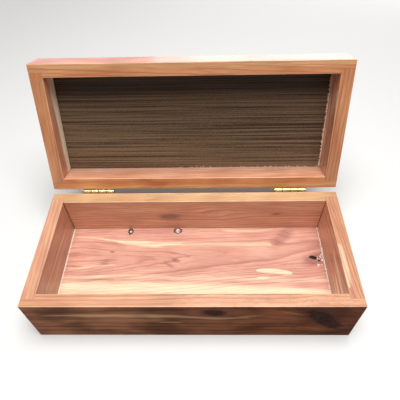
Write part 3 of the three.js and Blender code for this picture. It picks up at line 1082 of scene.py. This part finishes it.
class CEDARBOX_OT_floor_flaws(bpy.types.Operator):
    """Builds the bead, the lump and the splinters that lie in the floor's pits and along its end"""

    bl_idname = "cedar_box.floor_flaws"
    bl_label = "Floor flaws"

    def execute(self, context):
        bead = spotted_material("pitch", (0.34, 0.20, 0.12), (0.92, 0.80, 0.68), 0.12, 1.5)
        lump = spotted_material("torn knot", (0.55, 0.33, 0.26), (0.86, 0.72, 0.64), 0.5, 1.2)
        raw = spotted_material("splinters", (0.50, 0.33, 0.26), (0.86, 0.76, 0.66), 0.6, 1.0)
        ball_piece("pitch_bead", above_pit("bead_pit", 0.0, 1.0), (1.5, 1.7, 1.6), 0.2, 4.0, bead)
        ball_piece("knot_lump", above_pit("lump_pit", 0.4, 1.6), (2.6, 2.6, 2.6), 0.5, 9.0, lump)
        crumbs = crumb_nodes()
        crumbs.grow("floor_splinters", {
            "Start": (RIGHT_SEAM, -0.035, FLOOR_TOP), "End": (RIGHT_SEAM, 0.040, FLOOR_TOP),
            "Spread": (0.0007, 0.002, 0.0001), "Chip": (0.0007, 0.0016, 0.0006), "Least": 0.2,
            "Count": 46, "Seed": 3, "Turn": (0.3, 0.3, 0.9), "Material": raw}, "base", "cedar_floor")
        crumbs.grow("knot_splinters", {
            "Start": (0.1355, 0.003, FLOOR_TOP), "End": (0.1340, 0.014, FLOOR_TOP),
            "Spread": (0.0042, 0.003, 0.0001), "Chip": (0.0013, 0.0011, 0.0005), "Least": 0.2,
            "Count": 16, "Seed": 5, "Turn": (0.3, 0.3, 1.5), "Material": lump}, "base", "cedar_floor")
        return {"FINISHED"}


# ---- Lid panel and inlay -------------------------------------------------------------------------

SIDES = ("back", "left", "front", "right")
STAR_POINTS = range(1, 9)
PANEL_ARRIS = 0.15 * MM
PANEL_SPLINTERS_UP = 0.0894  # height of the panel's torn end when the lid is shut
PANEL_CHIPS_UP = 0.0892
PANEL_BACK = 0.0528
# In millimetres: the torn strip's place and width, where the painted shadow along the front ends, and
# over what span the painted light grows toward the panel's back.
PANEL_TORN = (139.4, 1.5)
PANEL_FRONT_SHADOW = (-36.0, -27.0)
PANEL_LIGHT_SLOPE = (-30.0, 50.0)
STRIP_ARRIS = 0.12 * MM
STRIP_SHARP = math.radians(30)
STRIP_STRIDE = 61.0  # sets each strip on a stretch of grain of its own


def panel_material():
    """Dark, finely streaked wood with a painted shadow along its front and painted light toward its back,
    torn along its right end.
    """
    trim = bpy.context.scene.cedar_box_trim
    material, n, shader = new_material("dark panel")
    place = board_space(n, ALONG_X_FLAT @ LID_UP)
    fine = n.noise(place, (0.004, 1.0, 1.0), detail=3, roughness=0.7)
    broad = n.noise(place, (0.004, 0.07, 0.07), detail=2)
    fleck = n.noise(place, (0.5, 1.3, 1.3), detail=2)
    streak = n.plus(n.times(fine, 1.05), n.times(broad, 0.24))
    streak = n.plus(streak, n.linear(fleck, 0.24, -0.275))
    colour = n.mix(n.step(streak, 0.36, 0.6), rgba(trim.panel_dark), rgba(trim.panel_light))
    # A painted shadow of the frame along the panel's front, and painted light that grows toward its back.
    back = n.split(place)["Y"]
    front_shade = n.step(back, *PANEL_FRONT_SHADOW, trim.panel_front_shadow, 1.0)
    colour = n.shaded(colour, n.times(front_shade, n.step(back, *PANEL_LIGHT_SLOPE, 0.86, 1.12)))
    torn = torn_strip(n, place, 7.0, *PANEL_TORN)
    n.fill(shader, {
        "Base Color": n.mix(torn, colour, rgba(trim.torn_wood)),
        "Roughness": n.linear(fine, 0.25, trim.panel_roughness - 0.12), "Normal": bump(n, fine, 0.12),
        "Specular IOR Level": 0.3})
    return material


def darker(colour, share):
    """A share of a colour's light."""
    return tuple(share * value for value in colour)


def inlay_material(name, colour, seed):
    """Straight-grained wood whose fibres run along each strip of inlay."""
    material, n, shader = new_material(name)
    place = n.new("ShaderNodeAttribute", attribute_name="strip_place").outputs["Vector"]
    fibre = n.noise(place, (0.06, 1.6, 1.6), detail=4)
    pores = n.noise(place, (0.35, 4.0, 4.0), detail=1)
    tone = n.mix(n.step(fibre, 0.3, 0.7), rgba(darker(colour, 0.62)), rgba(colour))
    pored = n.mix(n.step(pores, 0.62, 0.72, 0.0, 0.35), tone, rgba(darker(colour, 0.4)))
    finish = n.group(finish_group(), {
        "Board": place, "Seed": seed, "Roughness": 0.36, "Grain": fibre, "Worn": 0.0})
    n.fill(shader, {
        "Base Color": pored, "Roughness": finish["Roughness"],
        "Normal": bump(n, finish["Height"], 0.03)})
    return material


def strip_piece(name, material, slot, order):
    """A bevelled copy of one strip of inlay, which remembers where its fibres run."""
    bm = merged_copy(name)
    shut = [SHUT @ vertex.co for vertex in bm.verts]
    middle = sum(shut, Vector()) / len(shut)
    spans = [(a - b) for a in shut for b in shut]
    along = max(spans, key=lambda span: span.length)
    if "string" in name:
        along = Vector((1, 0, 0)) if abs(along.x) > abs(along.y) else Vector((0, 1, 0))
    along = Vector((along.x, along.y, 0)).normalized()
    sides = Vector((-along.y, along.x, 0))
    edges = [
        edge for edge in bm.edges if edge.is_convex and edge.calc_face_angle(0.0) > STRIP_SHARP]
    round_arrises(bm, edges, STRIP_ARRIS, segments=2)
    layer = bm.verts.layers.float_vector.new("strip_place")
    own_stretch = Vector((STRIP_STRIDE * order, 0, 0))
    for vertex in bm.verts:
        local = SHUT @ vertex.co - middle
        vertex[layer] = Vector((local.dot(along), local.dot(sides), local.z)) / MM + own_stretch
    piece = finished(f"{name}_strip", bm, [material], "lid", slot, [name])
    smooth_rounds(piece)


class CEDARBOX_OT_lid_panel(bpy.types.Operator):
    """Builds the dark panel of the lid and the ragged splinters along its end"""

    bl_idname = "cedar_box.lid_panel"
    bl_label = "Lid panel"

    def execute(self, context):
        torn_wood = context.scene.cedar_box_trim.torn_wood
        bm = merged_copy("lid_panel")
        round_arrises(bm, open_corners(bm, "lid_panel"), PANEL_ARRIS, segments=2)
        smooth_rounds(finished(
            "lid_panel_board", bm, [panel_material()], "lid", "dark_panel", ["lid_panel"]))
        raw = spotted_material("torn veneer", darker(torn_wood, 0.6), torn_wood, 0.6, 1.0)
        crumbs = crumb_nodes()
        crumbs.grow("panel_splinters", {
            "Start": OPEN @ Vector((RIGHT_SEAM, -0.020, PANEL_SPLINTERS_UP)),
            "End": OPEN @ Vector((RIGHT_SEAM, 0.051, PANEL_SPLINTERS_UP)),
            "Spread": (0.0006, 0.0003, 0.0006), "Chip": (0.0011, 0.0003, 0.0006), "Least": 0.3,
            "Count": 34, "Seed": 11, "Turn": (0.2, 0.25, 0.2), "Material": raw}, "lid", "dark_panel")
        crumbs.grow("panel_chips", {
            "Start": OPEN @ Vector((-0.020, PANEL_BACK, PANEL_CHIPS_UP)),
            "End": OPEN @ Vector((0.137, PANEL_BACK, PANEL_CHIPS_UP)),
            "Spread": (0.004, 0.0001, 0.0003), "Chip": (0.0011, 0.0004, 0.0005), "Least": 0.15,
            "Count": 40, "Seed": 17, "Turn": (0.2, 0.25, 0.2), "Material": raw}, "lid", "dark_panel")
        return {"FINISHED"}


class CEDARBOX_OT_inlay(bpy.types.Operator):
    """Builds the border strings and the star let into the lid"""

    bl_idname = "cedar_box.inlay"
    bl_label = "Inlay"

    def execute(self, context):
        trim = context.scene.cedar_box_trim
        pale = inlay_material("pale inlay", trim.pale_inlay, 2.0), "pale_inlay"
        red = inlay_material("red inlay", trim.red_inlay, 6.0), "red_inlay"
        strips = [(f"lid_string_{side}", pale) for side in SIDES]
        strips += [(f"lid_star_{point}", pale if point % 2 else red) for point in STAR_POINTS]
        for order, (name, (material, slot)) in enumerate(strips):
            strip_piece(name, material, slot, order)
        return {"FINISHED"}


# ---- Hinges --------------------------------------------------------------------------------------

SLOT_DEPTH = 0.6 * MM
HEAD_DEPTH = 1.3 * MM
HEAD_EDGE = 0.12  # share of the head's depth that stands straight
HEAD_BEVEL = 0.08 * MM
SHANK_RADIUS = 1.2 * MM
SHANK_SHARE = 0.8  # share of a screw's length above its tip
SCREW_SEED = 12
CROWN = 0.45 * MM  # rounding of the knuckles' ends
BARREL_SLACK = 0.06 * MM
LEAF_ARRIS = 0.18 * MM
PIN_ARRIS = 0.06 * MM
KNUCKLES = 4
TARNISH_REACH = 1.5 * MM


def brass_material():
    """Polished brass, dull where the hand doesn't reach, with fine scratches along the hinge."""
    trim = bpy.context.scene.cedar_box_trim
    material, n, shader = new_material("brass")
    place = board_space(n, ALONG_X_FLAT)
    cloud = n.noise(place, scale=0.35, detail=4)
    scratch = n.noise(place, (0.25, 5.0, 5.0), detail=2)
    in_hollow = n.step(n.hollow(TARNISH_REACH), 0.35, 0.9, 1.0, 0.0)
    dull = n.times(in_hollow, n.step(cloud, 0.3, 0.7, 0.5, 1.0))
    x, y, z = n.split(place)
    knuckle = HINGE_LENGTH / KNUCKLES / MM
    along = n.over(n.minus(n.math("ABSOLUTE", x), HINGE_X / MM), knuckle)
    off_seam = n.math("ABSOLUTE", n.minus(along, n.math("ROUND", along)))
    seam = n.step(off_seam, 0.035, 0.11, 1.0, 0.0)
    from_pin = n.join(0.0, n.minus(y, PIN.y / MM), n.minus(z, PIN.z / MM))
    reach = n.vector("LENGTH", from_pin, output=1)
    seam = n.times(seam, n.math("LESS_THAN", reach, 1.1 * BARREL_RADIUS / MM))
    dull = n.math("MAXIMUM", dull, seam)
    # Paler arrises: partly rubbed brass and partly painted highlight.
    rubbed_and_lit = n.group(edge_wear_and_highlight_group(), {
        "Board": place, "Seed": 4.0, "Arris": attribute(n, "arris"), "Amount": 0.4,
        "Colour": n.mix(dull, rgba(trim.brass), rgba(trim.tarnish)),
        "Worn Colour": (0.97, 0.83, 0.5, 1)})
    rough = n.linear(scratch, 0.14, trim.brass_roughness - 0.07)
    n.fill(shader, {
        "Base Color": rubbed_and_lit["Colour"], "Roughness": n.linear(dull, 0.22, rough),
        "Normal": bump(n, scratch, 0.006), "Metallic": 1.0})
    return material


def sharp_edges(bm, crowns):
    """The sharp convex edges: those round the ends of the knuckles, or all the others."""
    for edge in bm.edges:
        if len(edge.link_faces) != 2 or not edge.is_convex or edge.calc_face_angle(0.0) < SHARP:
            continue
        reach = min(math.hypot(v.co.y - PIN.y, v.co.z - PIN.z) for v in edge.verts)
        around = abs(edge.verts[0].co.x - edge.verts[1].co.x) < LEVEL
        on_barrel = around and abs(reach - BARREL_RADIUS) < BARREL_SLACK
        if on_barrel == crowns:
            yield edge


def brass_piece(name, body, material, radius):
    """One leaf or pin, with rounded knuckle ends and eased edges."""
    bm = merged_copy(name)
    round_arrises(bm, sharp_edges(bm, crowns=True), CROWN, segments=3)
    round_arrises(bm, sharp_edges(bm, crowns=False), radius, segments=2)
    smooth_rounds(finished(f"{name}_brass", bm, [material], body, "brass", [name]))


def screw_nodes():
    """The countersunk, slotted screws of one body: two in each leaf, each slot turned its own way."""
    g = GeometryNodes("Slotted screws", {
        "Float": ("Head Radius", "Head Depth", "Shank Radius", "Length", "Slot Width", "Slot Depth",
                  "Hinge X", "Screw X"),
        "Int": ("Seed",), "Vector": ("Place", "Turn"), "Material": ("Material",)})
    given = g.given

    def section(top, bottom, high, low):
        cone = g.put("GeometryNodeMeshCone", {
            "Vertices": 32, "Radius Top": top, "Radius Bottom": bottom,
            "Depth": g.minus(high, low)}, "Mesh", fill_type="NGON")
        return g.put("GeometryNodeTransform", {"Geometry": cone, "Translation": g.join(0.0, 0.0, low)})

    def pair(distance):
        return g.line(g.join(g.times(distance, -1.0), 0.0, 0.0), g.join(distance, 0.0, 0.0))

    head, shank = given["Head Radius"], given["Shank Radius"]
    crest = g.times(given["Head Depth"], -HEAD_EDGE)
    neck = g.times(given["Head Depth"], -1.0)
    foot = g.times(given["Length"], -SHANK_SHARE)
    tip = g.times(given["Length"], -1.0)
    body = g.new("GeometryNodeMeshBoolean", operation="UNION", solver="EXACT")
    for sizes in (
            (g.minus(head, HEAD_BEVEL), head, 0.0, crest), (head, shank, crest, neck),
            (shank, shank, neck, foot), (shank, 0.0, foot, tip)):
        g.feed(body.inputs["Mesh 2"], section(*sizes))
    slot_size = g.join(g.times(head, 3.0), given["Slot Width"], g.times(given["Slot Depth"], 2.0))
    cut = g.new("GeometryNodeMeshBoolean", operation="DIFFERENCE", solver="EXACT")
    g.fill(cut, {
        "Mesh 1": body.outputs["Mesh"],
        "Mesh 2": g.put("GeometryNodeMeshCube", {"Size": slot_size}, "Mesh")})
    points = g.put("GeometryNodeInstanceOnPoints", {
        "Points": pair(given["Hinge X"]), "Instance": pair(given["Screw X"])})
    twist = g.random_value(0.0, math.pi, given["Seed"])
    screws = g.put("GeometryNodeInstanceOnPoints", {
        "Points": g.put("GeometryNodeRealizeInstances", {"Geometry": points}),
        "Instance": cut.outputs["Mesh"], "Rotation": g.join(0.0, 0.0, twist)})
    g.finish(g.put("GeometryNodeTransform", {
        "Geometry": screws, "Translation": given["Place"], "Rotation": given["Turn"]}))
    return g


class CEDARBOX_OT_hinges(bpy.types.Operator):
    """Builds the leaves, pins and slotted screws of the two hinges"""

    bl_idname = "cedar_box.hinges"
    bl_label = "Hinges"

    def execute(self, context):
        slot_width = context.scene.cedar_box_trim.screw_slot
        brass = brass_material()
        screws = screw_nodes()
        hinges = ("left", "right")
        for body, side, opening in (("base", -1, Matrix.Identity(4)), ("lid", 1, OPEN)):
            nodes = [f"hinge_{hinge}_{body}_screw_{number}" for hinge in hinges for number in (1, 2)]
            lie = Matrix.Translation((0, PIN.y + LEAF_FACE, PIN.z + side * SCREW_DROP))
            lie = opening @ lie @ Matrix.Rotation(-math.pi / 2, 4, "X")
            piece = screws.grow(f"{body}_screws", {
                "Head Radius": SCREW_RADIUS, "Head Depth": HEAD_DEPTH, "Shank Radius": SHANK_RADIUS,
                "Length": SCREW_LENGTH, "Slot Width": slot_width, "Slot Depth": SLOT_DEPTH,
                "Hinge X": HINGE_X, "Screw X": SCREW_X, "Seed": SCREW_SEED + side,
                "Place": lie.translation, "Turn": Vector(lie.to_euler()),
                "Material": brass}, body, "brass", nodes)
            shade_smooth(piece, sharpest=30)
            for hinge in hinges:
                brass_piece(f"hinge_{hinge}_{body}_leaf", body, brass, LEAF_ARRIS)
        for hinge in hinges:
            brass_piece(f"hinge_{hinge}_pin", "base", brass, PIN_ARRIS)
        return {"FINISHED"}


# ---- Studio --------------------------------------------------------------------------------------

CAMERA_PLACE = Vector((17.2, -218.6, 388.4)) * MM
CAMERA_YAW = math.radians(2.17)
CAMERA_PITCH = math.radians(49.87)
CAMERA_ROLL = math.radians(2.07)
FLOOR_REACH = 4.0
FLOOR_ROUGHNESS = 0.8
SKY_COLOUR = (0.97, 0.98, 1.0)

# Each light's place, what it faces and its sides, in metres, and the setting that gives its power
# with the share of it that it takes.
LIGHTS = {
    "overhead": ((0.05, -0.1, 1.2), (0, 0.02, 0.05), (0.8, 0.7), "overhead", 1.0),
    "far_behind": ((-0.55, 0.88, 0.13), (-0.05, 0.13, 0.19), (0.9, 0.24), "behind", 0.26),
    "behind": ((0.33, 0.88, 0.13), (0.03, 0.13, 0.19), (1.05, 0.24), "behind", 1.0),
}


def area_light(name, place, target, size, power):
    """A soft rectangular light that faces its target and stays out of sight."""
    data = bpy.data.lights.new(name, "AREA")
    data.shape = "RECTANGLE"
    data.size, data.size_y = size
    data.energy = power
    light = new_object(name, data)
    light.location = place
    light.rotation_euler = (Vector(target) - Vector(place)).to_track_quat("-Z", "Y").to_euler()
    light.visible_camera = False


class CEDARBOX_OT_studio(bpy.types.Operator):
    """Builds the pale floor, the soft lights and the camera"""

    bl_idname = "cedar_box.studio"
    bl_label = "Studio"

    def execute(self, context):
        studio = context.scene.cedar_box_studio
        material, n, shader = new_material("studio floor")
        n.fill(shader, {"Base Color": rgba(studio.floor_colour), "Roughness": FLOOR_ROUGHNESS})
        bm = bmesh.new()
        bmesh.ops.create_grid(bm, x_segments=1, y_segments=1, size=FLOOR_REACH)
        mesh_object("studio_floor", bm, [material])

        world = bpy.data.worlds.new("studio sky")
        world.use_nodes = True
        background = world.node_tree.nodes["Background"]
        background.inputs["Color"].default_value = rgba(SKY_COLOUR)
        background.inputs["Strength"].default_value = studio.sky
        context.scene.world = world
        for name, (place, target, size, setting, share) in LIGHTS.items():
            area_light(name, place, target, size, share * getattr(studio, setting))

        data = bpy.data.cameras.new("camera")
        data.lens = studio.lens
        camera = new_object("camera", data)
        yaw = Matrix.Rotation(CAMERA_YAW, 4, "Z")
        pitch = Matrix.Rotation(-CAMERA_PITCH, 4, "X")
        roll = Matrix.Rotation(CAMERA_ROLL, 4, "Y")
        level = Matrix.Rotation(math.pi / 2, 4, "X")
        camera.matrix_world = Matrix.Translation(CAMERA_PLACE) @ yaw @ pitch @ roll @ level
        context.scene.camera = camera
        context.scene.view_settings.view_transform = "Standard"
        return {"FINISHED"}


OPERATORS = (
    CEDARBOX_OT_studio, CEDARBOX_OT_base_walls, CEDARBOX_OT_floor, CEDARBOX_OT_floor_flaws,
    CEDARBOX_OT_lid_walls, CEDARBOX_OT_lid_panel, CEDARBOX_OT_inlay, CEDARBOX_OT_hinges,
)


class CEDARBOX_PT_panel(bpy.types.Panel):
    """Lists the steps and settings of the box."""

    bl_label = "Cedar box"
    bl_idname = "CEDARBOX_PT_panel"
    bl_space_type = "VIEW_3D"
    bl_region_type = "UI"
    bl_category = "Cedar Box"

    def draw(self, context):
        for operator in OPERATORS:
            self.layout.operator(operator.bl_idname)
        for name in SETTINGS:
            settings = getattr(context.scene, name)
            column = self.layout.column()
            for label in settings.bl_rna.properties.keys():
                if label not in ("rna_type", "name"):
                    column.prop(settings, label)


SETTINGS = {
    "cedar_box_wood": CedarBoxWood, "cedar_box_trim": CedarBoxTrim, "cedar_box_studio": CedarBoxStudio,
}
CLASSES = (*SETTINGS.values(), *OPERATORS, CEDARBOX_PT_panel)


def register():
    for cls in CLASSES:
        bpy.utils.register_class(cls)
    for name, cls in SETTINGS.items():
        setattr(bpy.types.Scene, name, bpy.props.PointerProperty(type=cls))


def unregister():
    for name in SETTINGS:
        delattr(bpy.types.Scene, name)
    for cls in reversed(CLASSES):
        bpy.utils.unregister_class(cls)


def main():
    register()
    for operator in OPERATORS:
        group, name = operator.bl_idname.split(".")
        getattr(getattr(bpy.ops, group), name)()


if __name__ == "__main__":
    main()
